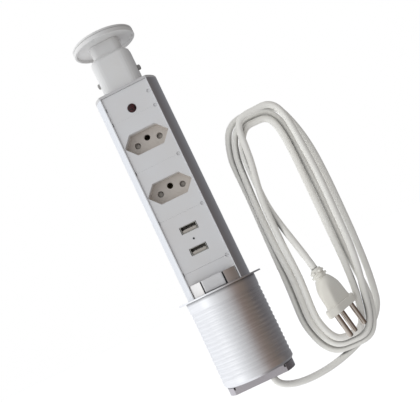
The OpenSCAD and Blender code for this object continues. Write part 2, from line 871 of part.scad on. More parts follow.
module cap_cover() {
    z0 = cap_z + cap_t - cover_t + gap;
    t = cover_t - gap;
    color("whitesmoke") translate([0, 0, z0]) difference() {
        rotate_extrude($fn = 120) polygon(concat(
            [[0, 0], [cap_r - 0.5, 0], [cap_r, 0.3]],
            [for (a = [0 : 15 : 90]) [cap_r - 0.9 + 0.9 * cos(a), t - 0.9 + 0.9 * sin(a)]],
            [[0, t]]
        ));
        for (s = [-1, 1]) translate([7 * s, 0, -1]) cylinder(r = 3.1, h = 1 + 1.1, $fn = 32);
    }
}

module cap_screws() {
    z = cap_z + cap_t - cover_t + 1;
    color("silver") for (s = [-1, 1])
        translate([7 * s, 0, z]) {
            translate([0, 0, -0.9]) cylinder(r = 2.9, h = 0.85, $fn = 32);
            translate([0, 0, -9.5]) cylinder(r = 1.25, h = 9, $fn = 32);
        }
}

// ---- Cord and plug ----

function smooth(t) = let (c = max(0, min(1, t))) c * c * (3 - 2 * c);

function power(v, p) = sign(v) * pow(abs(v), p);

// A value that eases from knot to knot, each knot a place and its value
function eased(knots, t, i = 0) =
    i < len(knots) - 2 && t > knots[i + 1][0] ? eased(knots, t, i + 1) :
    let (a = knots[i], b = knots[i + 1])
    a[1] + (b[1] - a[1]) * smooth((t - a[0]) / (b[0] - a[0]));

// Centre line of the coil: tau counts turns from the coil's bottom
function coil_point(tau) =
    let (
        a = 360 * tau,
        lane = eased(coil_lanes, tau),
        depth = eased(coil_depths, tau),
        u = -(coil_half_l - end_lane * lane) * power(cos(a), 0.74),
        side = (coil_half_w - side_lane * lane) * power(sin(a), 0.53),
        v = side + (side < 0 ? waist * pow(max(0, 1 - pow(u / waist_half_l, 4)), 2) : 0),
        x = coil_x + u * sin(coil_tilt) + v * cos(coil_tilt),
        z = coil_z + u * cos(coil_tilt) - v * sin(coil_tilt),
        spread = 1 + depth * back_spread
    )
    [spread_x + (x - spread_x) * spread, depth, z * spread];

function coil_heading(tau) = unit(coil_point(tau + 0.002) - coil_point(tau - 0.002));

function bezier(a, b, c, d, t) =
    a * pow(1 - t, 3) + 3 * b * t * pow(1 - t, 2) + 3 * c * t * t * (1 - t) + d * pow(t, 3);

plug_axis = [sin(plug_tilt), 0, -cos(plug_tilt)];
plug_top = [collar_x, plug_y, collar_z];

// Out of the column, round the coil, under its third turn and up to the plug
function cord_path() =
    let (
        join = coil_point(coil_join),
        leave = coil_point(coil_leave),
        foot = [exit_x, exit_y, bottom_z - 2],
        across = unit(cross_heading)
    )
    concat(
        [for (z = [cord_top_z : -6 : bottom_z]) [exit_x, exit_y, z]],
        [
            for (i = [0 : 15])
                bezier(foot, foot - [0, 0, 24], join - 36 * coil_heading(coil_join), join, i / 16)
        ],
        [for (i = [0 : 151]) coil_point(coil_join + (coil_leave - coil_join) * i / 152)],
        [
            for (i = [0 : 5])
                bezier(
                    leave, leave + 15 * coil_heading(coil_leave),
                    cross_point - 17 * across, cross_point, i / 6
                )
        ],
        [
            for (i = [0 : 8])
                bezier(
                    cross_point, cross_point + 18 * across,
                    plug_top - 20 * plug_axis, plug_top - 0.4 * plug_axis, i / 8
                )
        ]
    );

module cord() {
    color("ivory") tube_along(cord_path(), cord_d / 2, cord_sides);
}

// Places a drawing whose +Z is the plug's pin direction at the plug's cord end
module at_plug() {
    translate(plug_top) rotate([0, 180 - plug_tilt, 0]) rotate([0, 0, plug_turn]) children();
}

module plug_outline(scale_by) {
    polygon(round_corners(hexagon(17.6 * scale_by, 10.5 * scale_by, 6.9 * scale_by), 1.5 * scale_by));
}

module plug_boot() {
    color("ivory") at_plug() rotate_extrude($fn = 40) polygon([
        [0, gap], [3.4, gap], [4.2, 1], [4.2, 2.2], [5.6, 2.4], [5.6, 3.8], [4.6, 4], [4.6, 5.2],
        [5.8, 5.4], [5.8, 6.8], [5, 7], [5, boot_len], [0, boot_len]
    ]);
}

module plug_body() {
    z1 = boot_len + gap;
    z3 = plug_len + 3;
    z2 = z3 - plug_flange_t;
    color("ivory") at_plug() difference() {
        union() {
            hull() {
                translate([0, 0, z1]) cylinder(r = 5.6, h = 0.5, $fn = 32);
                translate([0, 0, z1 + 4]) cylinder(r = 7, h = 0.5, $fn = 32);
                translate([0, 0, z1 + 10]) linear_extrude(0.5) plug_outline(0.66);
                translate([0, 0, z2]) linear_extrude(0.5) plug_outline(0.8);
            }
            translate([0, 0, z2]) linear_extrude(plug_flange_t) plug_outline(1);
        }
        plug_pin_places() translate([0, 0, z3 - 5]) cylinder(r = plug_pin_r + gap, h = 10);
    }
}

module plug_pin_places() {
    for (x = [-pin_spacing / 2, pin_spacing / 2]) translate([x, 0, 0]) children();
    translate([0, earth_offset, 0]) children();
}

module plug_pins() {
    z3 = plug_len + 3;
    color("silver") at_plug() plug_pin_places() rotate_extrude($fn = 48) polygon([
        [0, z3 - 4.9], [plug_pin_r, z3 - 4.9], [plug_pin_r, z3 + pin_len - 0.8],
        [plug_pin_r - 0.8, z3 + pin_len], [0, z3 + pin_len]
    ]);
}

desk_sleeve();
upper_guide_ring();
lower_guide_ring();
extrusion();
top_cap();
top_cap_screws();
bottom_cap();
bottom_cap_screws();
cord_grommet();
indicator_plate();
indicator_lens();
indicator_lamp();
lamp_holder();
upper_socket();
lower_socket();
upper_shutter();
lower_shutter();
upper_shutter_spring();
lower_shutter_spring();
upper_contact_carrier();
lower_contact_carrier();
line_bar();
neutral_bar();
earth_bar();
usb_plate();
usb_shells();
usb_tongues();
usb_contacts();
status_light_pipe();
usb_board();
usb_board_screws();
usb_transformer();
usb_capacitors();
foot_plate();
foot_shell();
latch_button();
latch_guide();
latch_spring();
lower_panel();
terminal_block();
terminal_screws();
cord_clamp();
line_wire();
neutral_wire();
earth_wire();
neck();
neck_screws();
grip_stem();
left_button();
right_button();
button_spring();
cap_base();
cap_cover();
cap_screws();
cord();
plug_body();
plug_boot();
plug_pins();
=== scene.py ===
import json
import math

import bpy
from mathutils import Matrix, Vector


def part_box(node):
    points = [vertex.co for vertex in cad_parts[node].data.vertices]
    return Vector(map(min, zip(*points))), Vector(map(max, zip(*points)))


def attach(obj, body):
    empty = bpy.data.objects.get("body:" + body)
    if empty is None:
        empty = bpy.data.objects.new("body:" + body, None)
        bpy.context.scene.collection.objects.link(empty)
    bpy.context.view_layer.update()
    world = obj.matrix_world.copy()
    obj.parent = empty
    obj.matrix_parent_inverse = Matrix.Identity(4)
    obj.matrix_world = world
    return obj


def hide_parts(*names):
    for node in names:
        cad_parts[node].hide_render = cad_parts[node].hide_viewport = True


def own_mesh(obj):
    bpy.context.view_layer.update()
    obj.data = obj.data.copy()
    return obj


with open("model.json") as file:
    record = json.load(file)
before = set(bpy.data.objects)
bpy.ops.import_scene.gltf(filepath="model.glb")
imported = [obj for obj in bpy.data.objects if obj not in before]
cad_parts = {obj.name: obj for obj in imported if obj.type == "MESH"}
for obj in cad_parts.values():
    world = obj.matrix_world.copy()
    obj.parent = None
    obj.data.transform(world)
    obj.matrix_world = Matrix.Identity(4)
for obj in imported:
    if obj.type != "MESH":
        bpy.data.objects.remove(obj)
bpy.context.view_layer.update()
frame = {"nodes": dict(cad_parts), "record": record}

# Looks of a pull-up desk power tower. Lengths in this script are millimetres until they meet
# a mesh, and MM turns them into metres. +Z runs up the column and the sockets face -Y.
MM = 0.001
# Radians that the wave texture runs through in one unit at a scale of 1.
WAVE_RADIANS = 20
# Colour of the painted shade in crevices, and how much of it the darkest ones hold.
CREVICE_SHADE = (0.012, 0.010, 0.009)
CREVICE_SHADE_SHARE = 0.94


# ---- Material nodes ----


class Surface:
    """A material under construction, with shorthands for the nodes every finish here uses."""

    def __init__(self, name, coordinates="Object"):
        self.material = bpy.data.materials.new(name)
        self.material.use_nodes = True
        self.tree = self.material.node_tree
        self.shader = self.tree.nodes["Principled BSDF"]
        self.coordinates = coordinates
        self.where = self.add("ShaderNodeTexCoord").outputs[coordinates]

    def add(self, kind, **settings):
        node = self.tree.nodes.new(kind)
        for key, value in settings.items():
            setattr(node, key, value)
        return node

    def link(self, source, target):
        self.tree.links.new(source, target)

    def set(self, **values):
        for key, value in values.items():
            self.shader.inputs[key.replace("_", " ")].default_value = value

    def noise(self, per_mm, stretch=(1, 1, 1), detail=2.0, seed=0.0):
        """Noise of so many blobs a millimetre, squeezed along each axis by stretch."""
        per_unit = per_mm / MM if self.coordinates == "Object" else per_mm
        mapping = self.add("ShaderNodeMapping")
        mapping.inputs["Scale"].default_value = [per_unit * s for s in stretch]
        mapping.inputs["Location"].default_value = (seed, seed * 1.7, seed * 0.6)
        self.link(self.where, mapping.inputs["Vector"])
        texture = self.add("ShaderNodeTexNoise")
        texture.inputs["Scale"].default_value = 1.0
        texture.inputs["Detail"].default_value = detail
        self.link(mapping.outputs["Vector"], texture.inputs["Vector"])
        return texture.outputs["Fac"]

    def span(self, value, low, high, source=(0.3, 0.7)):
        """Maps the source range of a value onto low to high."""
        node = self.add("ShaderNodeMapRange")
        node.inputs["From Min"].default_value, node.inputs["From Max"].default_value = source
        node.inputs["To Min"].default_value = low
        node.inputs["To Max"].default_value = high
        self.link(value, node.inputs["Value"])
        return node.outputs["Result"]

    def mix(self, factor, first, second):
        """A colour between first and second; either may be a colour or another node's output."""
        node = self.add("ShaderNodeMix", data_type="RGBA")
        self.link(factor, node.inputs["Factor"])
        for name, colour in (("A", first), ("B", second)):
            socket = [s for s in node.inputs if s.name == name and s.type == "RGBA"][0]
            if isinstance(colour, bpy.types.NodeSocket):
                self.link(colour, socket)
            else:
                socket.default_value = (*colour, 1.0)
        return [s for s in node.outputs if s.type == "RGBA"][0]

    def round_edges(self, radius):
        """A normal that turns smoothly round every edge within radius millimetres."""
        node = self.add("ShaderNodeBevel", samples=4)
        node.inputs["Radius"].default_value = radius * MM
        return node.outputs["Normal"]

    def edges(self, rounded):
        """1 along an edge and 0 on flat ground."""
        dot = self.add("ShaderNodeVectorMath", operation="DOT_PRODUCT")
        self.link(rounded, dot.inputs[0])
        self.link(self.add("ShaderNodeNewGeometry").outputs["Normal"], dot.inputs[1])
        return self.span(dot.outputs["Value"], 1.0, 0.0, (0.80, 0.995))

    def shade_crevices(self, colour, reach, openness):
        """The colour with painted shade, darker where something within reach millimetres hides the sky.

        Surfaces no more open than openness[0] get the darkest painted shade and those above openness[1]
        none."""
        cavity = self.add("ShaderNodeAmbientOcclusion", samples=6)
        cavity.inputs["Distance"].default_value = reach * MM
        share = self.span(cavity.outputs["AO"], CREVICE_SHADE_SHARE, 0.0, openness)
        return self.mix(share, colour, CREVICE_SHADE)

    def bump(self, height, depth, normal=None):
        """Bump of so many millimetres for a height from 0 to 1."""
        node = self.add("ShaderNodeBump")
        node.inputs["Strength"].default_value = 1.0
        node.inputs["Distance"].default_value = depth * MM
        self.link(height, node.inputs["Height"])
        if normal is not None:
            self.link(normal, node.inputs["Normal"])
        return node.outputs["Normal"]

    def finish(self, colour=None, roughness=None, normal=None):
        """Joins whatever is given to the shader and hands over the material."""
        for value, name in ((colour, "Base Color"), (roughness, "Roughness"), (normal, "Normal")):
            if value is not None:
                self.link(value, self.shader.inputs[name])
        return self.material


def tinted(colour, factor, warmth=0.0):
    """A colour made lighter or darker, and warmer by a small share."""
    r, g, b = (c * factor for c in colour)
    return (min(1, r * (1 + warmth)), min(1, g), min(1, b * (1 - warmth)))


def moulded_plastic(name, colour, roughness, grain=0.004, edge=0.25, warmth=0.02, crevice=None, recess_shade=None):
    """Fine spark-eroded grain, faint flow marks, lighter edges and painted shade in the crevices.

    The recess colour is painted shade that deepens towards the floor of a recess in the front."""
    s = Surface(name)
    cloud = s.noise(0.035, detail=3, seed=3)
    fine = s.noise(2.6, detail=3)
    normal = s.round_edges(edge)
    base = s.mix(s.span(cloud, 0, 1), tinted(colour, 0.975, warmth), tinted(colour, 1.02))
    edged_and_shaded = s.mix(s.edges(normal), base, tinted(colour, 1.08))
    # Painted shade: a darker warm colour deeper in a recess, towards its floor.
    if recess_shade:
        split = s.add("ShaderNodeSeparateXYZ")
        s.link(s.where, split.inputs[0])
        depth = s.span(split.outputs["Y"], 0, 1, [y * MM for y in RECESS_SHADE_Y])
        edged_and_shaded = s.mix(depth, edged_and_shaded, recess_shade)
    # Painted shade in the crevices.
    if crevice:
        edged_and_shaded = s.shade_crevices(edged_and_shaded, *crevice)
    shine = s.span(s.noise(0.11, detail=4, seed=8), roughness - 0.05, roughness + 0.06)
    s.set(Specular_IOR_Level=0.45)
    return s.finish(edged_and_shaded, shine, s.bump(fine, grain, normal))


def satin_metal(name, colour, roughness, stretch, grain=0.003, edge=0.3, crevice=None):
    """Anodised or turned metal: lines run where stretch is small, with a dull, uneven sheen."""
    s = Surface(name)
    lines = s.noise(3, stretch, detail=4)
    smudge = s.noise(0.03, detail=4, seed=5)
    normal = s.round_edges(edge)
    base = s.mix(s.span(lines, 0, 1), tinted(colour, 0.93), tinted(colour, 1.04))
    edged_and_shaded = s.mix(s.edges(normal), base, tinted(colour, 1.12))
    # Painted shade in the crevices.
    if crevice:
        edged_and_shaded = s.shade_crevices(edged_and_shaded, *crevice)
    shine = s.add("ShaderNodeMath", operation="ADD")
    s.link(s.span(lines, -0.05, 0.05), shine.inputs[0])
    s.link(s.span(smudge, roughness - 0.04, roughness + 0.05), shine.inputs[1])
    s.set(Metallic=1.0)
    return s.finish(edged_and_shaded, shine.outputs[0], s.bump(lines, grain, normal))


def wound_wire(name, colour, roughness, radians_per_mm):
    """Enamelled or tape-wound surface with fine windings up Z."""
    s = Surface(name)
    wave = s.add("ShaderNodeTexWave", wave_type="BANDS", bands_direction="Z")
    wave.inputs["Scale"].default_value = radians_per_mm / MM / WAVE_RADIANS
    wave.inputs["Distortion"].default_value = 0.4
    s.link(s.where, wave.inputs["Vector"])
    base = s.mix(wave.outputs["Fac"], tinted(colour, 0.6), tinted(colour, 1.1))
    s.set(Roughness=roughness)
    return s.finish(base, None, s.bump(wave.outputs["Fac"], 0.08))


def circuit_board(name, colour):
    """Green lacquer over copper tracks."""
    s = Surface(name)
    cells = s.add("ShaderNodeTexBrick")
    cells.inputs["Scale"].default_value = 0.25 / MM
    cells.inputs["Mortar Size"].default_value = 0.04
    s.link(s.where, cells.inputs["Vector"])
    base = s.mix(cells.outputs["Fac"], tinted(colour, 0.8), tinted(colour, 1.5))
    s.set(Roughness=0.3, Coat_Weight=0.4)
    return s.finish(base, None, s.bump(cells.outputs["Fac"], 0.03))


def red_lens(name):
    """Dark clear red moulding with a faint pattern of prisms behind a smooth dome, their centres painted a
    lighter red as glints.
    """
    s = Surface(name)
    cells = s.add("ShaderNodeTexVoronoi", feature="F1")
    cells.inputs["Scale"].default_value = 0.9 / MM
    s.link(s.where, cells.inputs["Vector"])
    glow = s.span(cells.outputs["Distance"], 0, 1, (0.1, 0.6))
    base = s.mix(glow, (0.11, 0.006, 0.012), (0.008, 0.001, 0.001))
    s.set(Roughness=0.35, Coat_Weight=0.25, Coat_Roughness=0.04, Specular_IOR_Level=0.25)
    return s.finish(base, None, s.bump(cells.outputs["Distance"], 0.25))


def light_pipe(name):
    """Unlit smoky moulding with a clear polished skin."""
    s = Surface(name)
    base = s.mix(s.span(s.noise(0.8), 0, 1), (0.015, 0.017, 0.02), (0.03, 0.035, 0.04))
    s.set(Roughness=0.15, Coat_Weight=0.6)
    return s.finish(base, None, s.bump(s.noise(3), 0.01))


def cord_pvc(name, colour):
    """Extruded PVC: die lines along the cord, small dents and a soft sheen, by the cord's UV."""
    s = Surface(name, "UV")
    lines = s.noise(9, (1, 0.03, 1), detail=1)
    dents = s.noise(0.9, (3, 0.6, 1), detail=1, seed=4)
    base = s.mix(s.span(dents, 0, 1), tinted(colour, 0.95, 0.015), tinted(colour, 1.03))
    tone = s.mix(s.span(lines, 0, 0.35), base, tinted(colour, 0.9, 0.02))
    # Painted shade between neighbouring strands.
    tone = s.shade_crevices(tone, 4.5, BETWEEN_STRANDS)
    relief = s.add("ShaderNodeMath", operation="MULTIPLY_ADD")
    s.link(lines, relief.inputs[0])
    relief.inputs[1].default_value = 0.25
    s.link(dents, relief.inputs[2])
    s.set(Specular_IOR_Level=0.4)
    return s.finish(tone, s.span(lines, 0.36, 0.5), s.bump(relief.outputs[0], 0.06))


def wire_sleeve(name, colour):
    """Insulation of a single wire, slightly mottled."""
    s = Surface(name)
    base = s.mix(s.span(s.noise(0.5), 0, 1), tinted(colour, 0.85), tinted(colour, 1.1))
    s.set(Roughness=0.4)
    return s.finish(base, None, s.bump(s.noise(2.0), 0.01))


ALONG_Z = (1, 1, 0.01)
ROUND_Z = (0.012, 0.012, 1)
ALL_WAYS = (1, 1, 1)
IVORY = (0.97, 0.965, 0.925)
# How open a surface is when its painted shade is darkest and when it has none: in narrow gaps, in the wider
# gap round the latch, in round holes, in the shallow grooves between ribs and between strands.
GAPS = (0.12, 0.5)
LATCH_GAP = (0.3, 0.75)
HOLES = (0.25, 0.85)
RIBS = (0.4, 0.96)
BETWEEN_STRANDS = (0.3, 0.78)
# Y where the front face ends and where the floor of a socket recess lies, between which the painted recess
# shade deepens.
RECESS_SHADE_Y = (-15, -8)
FRONT_GREY = (0.75, 0.755, 0.77)

# A crevice setting paints shade into gaps, holes and grooves, and the front's recess colour paints the shade
# on the floor of its socket recesses.
MATERIALS = {
    "sleeve_aluminium": satin_metal(
        "sleeve_aluminium", (0.88, 0.88, 0.89), 0.34, ROUND_Z, 0.006, crevice=(3, RIBS)
    ),
    "guide_plastic": moulded_plastic("guide_plastic", (0.05, 0.05, 0.055), 0.5),
    "column_aluminium": satin_metal("column_aluminium", (0.80, 0.81, 0.825), 0.36, ALONG_Z, 0.004, 0.35),
    "cap_plastic": moulded_plastic("cap_plastic", (0.60, 0.60, 0.61), 0.45, crevice=(1.6, GAPS)),
    "front_plastic": moulded_plastic(
        "front_plastic", FRONT_GREY, 0.48, edge=0.12, crevice=(1.6, GAPS), recess_shade=(0.66, 0.61, 0.56)
    ),
    "grip_plastic": moulded_plastic("grip_plastic", (0.76, 0.76, 0.76), 0.42, edge=0.5, crevice=(1.6, GAPS)),
    "steel": satin_metal("steel", (0.62, 0.62, 0.61), 0.3, ALL_WAYS, 0.004, 0.15),
    "spring_steel": satin_metal("spring_steel", (0.52, 0.52, 0.53), 0.28, ALONG_Z, 0.002, 0.05),
    "nickel_shell": satin_metal("nickel_shell", (0.66, 0.65, 0.60), 0.25, ALONG_Z, 0.002, 0.12),
    "pin_nickel": satin_metal("pin_nickel", (0.54, 0.48, 0.42), 0.07, ALL_WAYS, 0.001, 0.1),
    "red_lens": red_lens("red_lens"),
    # The shutters are grey-beige, made darker to paint the shade deep in the socket holes; their crevice
    # setting paints shade round the hole walls.
    "shutter_plastic": moulded_plastic("shutter_plastic", (0.50, 0.47, 0.43), 0.45, crevice=(2.2, HOLES)),
    "brass": satin_metal("brass", (0.66, 0.50, 0.24), 0.3, ALL_WAYS, 0.003, 0.1, crevice=(6, HOLES)),
    "light_pipe": light_pipe("light_pipe"),
    "board_green": circuit_board("board_green", (0.02, 0.12, 0.05)),
    "coil_wrap": wound_wire("coil_wrap", (0.55, 0.35, 0.08), 0.4, 4),
    "capacitor_sleeve": wound_wire("capacitor_sleeve", (0.06, 0.06, 0.10), 0.35, 0.4),
    "wire_brown": wire_sleeve("wire_brown", (0.20, 0.07, 0.03)),
    "wire_blue": wire_sleeve("wire_blue", (0.03, 0.12, 0.45)),
    "wire_green": wire_sleeve("wire_green", (0.10, 0.32, 0.08)),
    "button_grey": moulded_plastic("button_grey", (0.36, 0.355, 0.35), 0.4),
    "grommet_grey": moulded_plastic("grommet_grey", (0.42, 0.42, 0.41), 0.6),
    "cord_pvc": cord_pvc("cord_pvc", IVORY),
}
PLUG_PVC = moulded_plastic("plug_pvc", (0.86, 0.85, 0.79), 0.42, grain=0.006, edge=0.3, warmth=0.03)


def paint(obj, material):
    """Gives the whole object one material."""
    obj.data.materials.clear()
    obj.data.materials.append(material)


# Pieces whose finish is their own and not their slot's.
OWN_MATERIALS = {
    "bottom_cap": satin_metal("cap_aluminium", (0.54, 0.51, 0.53), 0.3, ALL_WAYS, 0.004, crevice=(3, HOLES)),
    "foot_shell": satin_metal("shell_aluminium", (0.84, 0.82, 0.80), 0.48, ALL_WAYS, crevice=(2.5, GAPS)),
    "latch_button": moulded_plastic("latch_plastic", FRONT_GREY, 0.48, edge=0.12, crevice=(4, LATCH_GAP)),
}


def paint_cad_pieces():
    """Gives each CAD piece its own finish or else that of its slot."""
    for row in frame["record"]["subparts"]:
        own = OWN_MATERIALS.get(row["node"])
        paint(frame["nodes"][row["node"]], own or MATERIALS[row["material_slot"]])


paint_cad_pieces()


# ---- Mesh helpers ----


def mesh_from_rings(name, rings, along=None):
    """A closed skin over rings of equal length, each ring a list of points in millimetres.

    along is how far each ring lies along the piece, for a UV map."""
    sides = len(rings[0])
    vertices = [[c * MM for c in point] for ring in rings for point in ring]
    faces = []
    for i in range(len(rings) - 1):
        for k in range(sides):
            a, b = i * sides + k, i * sides + (k + 1) % sides
            faces.append((a, b, b + sides, a + sides))
    faces.append(tuple(range(sides - 1, -1, -1)))
    faces.append(tuple((len(rings) - 1) * sides + k for k in range(sides)))
    mesh = bpy.data.meshes.new(name)
    mesh.from_pydata(vertices, [], faces)
    if along is not None:
        write_uv(mesh, sides, along)
    mesh.shade_smooth()
    mesh.update()
    obj = bpy.data.objects.new(name, mesh)
    bpy.context.scene.collection.objects.link(obj)
    return obj


# Size of one UV unit, and how far U runs once round a ring, in millimetres.
UV_TILE = 26
UV_GIRTH = 17.0


def write_uv(mesh, sides, along):
    """U goes round each ring and V along the rings, in tiles."""
    layer = mesh.uv_layers.new(name="along")
    for polygon in mesh.polygons:
        around = [v % sides for v in polygon.vertices]
        wraps = max(around) - min(around) > sides / 2
        for loop, k in zip(polygon.loop_indices, around):
            vertex = mesh.loops[loop].vertex_index
            turn = k + sides if wraps and k < sides / 2 else k
            layer.data[loop].uv = (turn / sides * UV_GIRTH / UV_TILE, along[vertex // sides] / UV_TILE)


def smooth(t):
    """0 to 1 with level ends, for t from 0 to 1."""
    c = max(0.0, min(1.0, t))
    return c * c * (3 - 2 * c)


# ---- Cord ----

CORD_D = 5.4
CORD_SIDES = 28
# Where the cord leaves the bottom cap, and how high it reaches inside.
CORD_EXIT = Vector((8, 2, -76.3))
CORD_INSIDE_Z = -58
# The coil's middle, its half length and half width, and how far its top leans to the right.
COIL_X = 78.7
COIL_Z = 16.6
COIL_HALF_L = 100
COIL_HALF_W = 33
COIL_TILT = math.radians(1.9)
# Turns at which the cord joins and leaves the coil, and the rings drawn between them.
COIL_JOIN = 0.14
COIL_LEAVE = 3.66
COIL_STEPS = 520
# Rings of the free lengths: round the bend below the cap, under the coil and down to the plug.
BEND_STEPS = 48
UNDER_STEPS = 16
LAST_STEPS = 26
# How square the coil's ends and sides are: 1 is an ellipse and 0 a rectangle.
END_POWER = 0.74
SIDE_POWER = 0.53
# Lane of each turn, 0 outermost: the third turn climbs over the others at the top.
COIL_LANES = [
    (0, 0), (0.3, 0), (0.4, 0.3), (0.5, 0.7), (0.6, 0), (0.86, 0), (1.13, 1), (1.22, 1.9),
    (1.3, 2), (1.42, 1.6), (1.52, 1.7), (1.62, 1), (1.73, 0.5), (1.8, 1), (1.86, 1), (2, 1.5),
    (2.13, 1.6), (2.23, 1.05), (2.32, 1), (2.46, 0.1), (2.63, 2.8), (2.73, 1.6), (2.8, 2),
    (2.86, 2), (3.06, 2.8), (3.16, 2.76), (3.28, 3), (3.42, 2.6), (3.5, 2.9), (3.66, 2), (4, 2),
]
# How far each lane lies inside the last at the coil's ends and sides.
END_LANE = 3.7
SIDE_LANE = 5.2
# The coil's left side is drawn in at its middle.
WAIST = 4.2
WAIST_HALF_L = 72
# Y of each turn.
COIL_DEPTHS = [
    (0.14, 19.5), (0.4, 15), (0.78, 15), (1, 9.5), (1.8, 9.5), (2, 4), (2.08, 4), (2.24, -1.5),
    (2.9, -1.5), (3.04, -0.9), (3.22, 4), (3.45, 4), (3.62, 5), (4, 5),
]
# Turns further back are wider, away from SPREAD_X, by this share per millimetre.
BACK_SPREAD = 0.00176
SPREAD_X = 52.35
# Where the cord comes out from under the coil, and which way it runs there.
CROSS_POINT = Vector((62.6, 5, 33))
CROSS_HEADING = Vector((0.17, -0.05, -1)).normalized()
# How far the plug leans to the right going down, and how far it is turned about its own axis.
PLUG_TILT = math.radians(9.6)
PLUG_TURN = math.radians(-43)
PLUG_TOP = Vector((72.09, -13.5, -16.93))
PLUG_AXIS = Vector((math.sin(PLUG_TILT), 0, -math.cos(PLUG_TILT)))


def power(value, exponent):
    """A power that keeps the sign of its value."""
    return math.copysign(abs(value) ** exponent, value)


def eased(knots, at):
    """A value that eases from knot to knot, each knot a place and its value."""
    for (start, first), (end, second) in zip(knots, knots[1:]):
        if at <= end:
            break
    return first + (second - first) * smooth((at - start) / (end - start))


def coil_point(turns):
    """The coil's centre line. turns counts from the coil's bottom."""
    angle = 2 * math.pi * turns
    lane = eased(COIL_LANES, turns)
    depth = eased(COIL_DEPTHS, turns)
    u = -(COIL_HALF_L - END_LANE * lane) * power(math.cos(angle), END_POWER)
    v = (COIL_HALF_W - SIDE_LANE * lane) * power(math.sin(angle), SIDE_POWER)
    if v < 0:
        v += WAIST * max(0, 1 - (u / WAIST_HALF_L) ** 4) ** 2
    x = COIL_X + u * math.sin(COIL_TILT) + v * math.cos(COIL_TILT)
    z = COIL_Z + u * math.cos(COIL_TILT) - v * math.sin(COIL_TILT)
    spread = 1 + depth * BACK_SPREAD
    return Vector((SPREAD_X + (x - SPREAD_X) * spread, depth, z * spread))


def coil_heading(turns):
    """Unit direction of the coil, towards the plug."""
    return (coil_point(turns + 0.002) - coil_point(turns - 0.002)).normalized()


def bezier(a, b, c, d, t):
    """Point at t on a curve from a to d that b and c pull on."""
    s = 1 - t
    return a * s**3 + b * (3 * t * s * s) + c * (3 * t * t * s) + d * t**3


def cord_path():
    """Down out of the cap, round the bend, along the coil, under a strand and down to the plug.

    The millimetres beside each heading are how hard that end of a curve holds to it."""
    join = coil_point(COIL_JOIN)
    leave = coil_point(COIL_LEAVE)
    foot = CORD_EXIT - Vector((0, 0, 2))
    bend = (foot, foot - Vector((0, 0, 24)), join - 36 * coil_heading(COIL_JOIN), join)
    under = (leave, leave + 15 * coil_heading(COIL_LEAVE), CROSS_POINT - 17 * CROSS_HEADING, CROSS_POINT)
    last = (CROSS_POINT, CROSS_POINT + 18 * CROSS_HEADING, PLUG_TOP - 20 * PLUG_AXIS, PLUG_TOP)
    turn_step = (COIL_LEAVE - COIL_JOIN) / COIL_STEPS
    inside_end = math.floor(CORD_EXIT.z)
    path = [Vector((CORD_EXIT.x, CORD_EXIT.y, z)) for z in range(CORD_INSIDE_Z, inside_end, -3)]
    path += [bezier(*bend, i / BEND_STEPS) for i in range(BEND_STEPS)]
    path += [coil_point(COIL_JOIN + turn_step * i) for i in range(COIL_STEPS)]
    path += [bezier(*under, i / UNDER_STEPS) for i in range(UNDER_STEPS)]
    path += [bezier(*last, i / LAST_STEPS) for i in range(LAST_STEPS + 1)]
    return path


def tube_rings(path, radius, sides):
    """Rings round a path, carried along without twist."""
    rings, lengths, length = [], [], 0.0
    side = Vector((1, 0, 0))
    for i, point in enumerate(path):
        ahead = (path[min(i + 1, len(path) - 1)] - path[max(i - 1, 0)]).normalized()
        side = (side - ahead * side.dot(ahead)).normalized()
        other = ahead.cross(side)
        angles = [2 * math.pi * k / sides for k in range(sides)]
        rings.append([point + radius * (side * math.cos(a) + other * math.sin(a)) for a in angles])
        length += (point - path[max(i - 1, 0)]).length
        lengths.append(length)
    return rings, lengths


def make_cord():
    """The whole cord, in place of the plain one of the CAD."""
    rings, lengths = tube_rings(cord_path(), CORD_D / 2, CORD_SIDES)
    cord = mesh_from_rings("supply_cord", rings, along=lengths)
    paint(cord, MATERIALS["cord_pvc"])
    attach(cord, "column")
    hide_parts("cord")
    # The sleeve mirrors the plain dim room, not the light coil and plug beside it.
    cord.visible_glossy = False


# ---- Plug ----

PLUG_SIDES = 96
BOOT_LEN = 8
BOOT_STEPS = 44
# The boot's radius at its thin end and what it gains per millimetre, and where its two broken
# ribs lie and how far each is turned.
BOOT_R = 4.3
BOOT_FLARE = 0.06
BOOT_RIBS = ((2.9, 0.0), (6.0, math.pi / 4))
RIB_HALF_L = 1.1
RIB_RISE = 0.25
LUG_RISE = 1.2
PLUG_BACK = 8.05
FLANGE_BACK = 30.5
FLANGE_TIP = 17.6
FLANGE_HALF_H = 6.9
FLANGE_ROUND = 0.9
PLUG_FACE = 36.5
# The body's outline: place along the axis, half width, half height and how six-sided it is.
PLUG_KNOTS = [
    (PLUG_BACK, 5.0, 5.0, 0.0), (9.0, 6.0, 6.0, 0.0), (11.0, 7.2, 6.7, 0.05), (13.0, 8.7, 7.0, 0.15),
    (15.0, 10.1, 7.1, 0.35), (17.5, 11.3, 7.0, 0.6), (20.0, 12.0, 6.8, 0.8), (24.0, 12.7, 6.3, 0.95),
    (28.0, 13.5, 5.9, 1.0), (29.6, 14.1, 5.8, 1.0), (FLANGE_BACK, 15.0, 6.1, 1.0),
]
PLUG_STEPS = 36
# How much of the six-sided outline's width is flat, and how sharp its corners are.
FLAT_SHARE = 0.6
CRISPNESS = 16
PLUG_PLACE = (
    Matrix.Translation(PLUG_TOP)
    @ Matrix.Rotation(math.pi - PLUG_TILT, 4, "Y")
    @ Matrix.Rotation(PLUG_TURN, 4, "Z")
)


